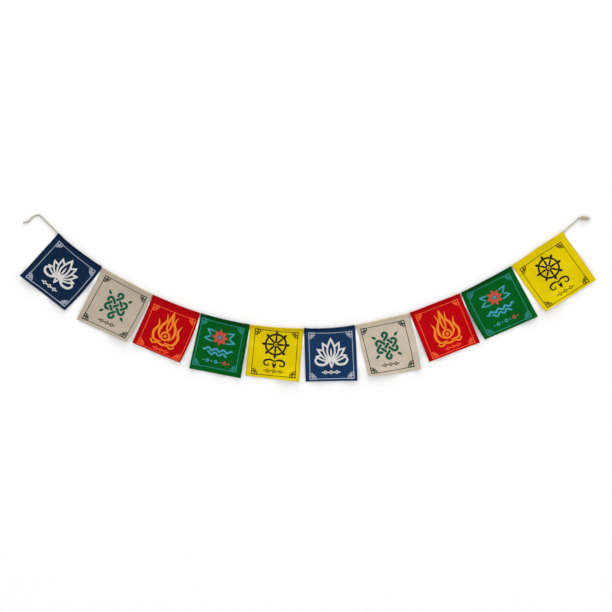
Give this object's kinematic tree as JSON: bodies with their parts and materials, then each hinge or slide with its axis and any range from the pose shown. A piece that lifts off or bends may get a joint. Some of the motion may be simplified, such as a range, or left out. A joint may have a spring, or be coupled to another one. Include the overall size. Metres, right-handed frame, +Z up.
{
  "type": "tibetan prayer flag string",
  "caption": "String of small square cotton prayer flags in five colours, sewn round a thin cord with loose ends, lying spread on a surface.",
  "frame": {"origin": "on the surface that the string lies on, in the middle of the box round the flags", "axes": "+X along the string from the first navy flag to the last yellow one, +Y from the flags' bottom edges to the cord, +Z up from the surface"},
  "size_m": [0.9592, 0.2792, 0.0055],
  "materials": {
    "navy_cotton": "matt plain-weave cotton, printed off-white",
    "beige_cotton": "matt unbleached plain-weave cotton, printed dark green",
    "red_cotton": "matt plain-weave cotton, printed orange",
    "green_cotton": "matt plain-weave cotton, printed light blue and coral red",
    "yellow_cotton": "matt plain-weave cotton, printed dark brown",
    "cotton_cord": "matt twisted natural cotton"
  },
  "bodies": {
    "root": {"flag_01": "navy_cotton", "flag_02": "beige_cotton", "flag_03": "red_cotton", "flag_04": "green_cotton", "flag_05": "yellow_cotton", "flag_06": "navy_cotton", "flag_07": "beige_cotton", "flag_08": "red_cotton", "flag_09": "green_cotton", "flag_10": "yellow_cotton", "cord_main": "cotton_cord", "cord_left_end": "cotton_cord", "cord_right_end": "cotton_cord", "cord_end_knot": "cotton_cord"}
  },
  "joints": []
}
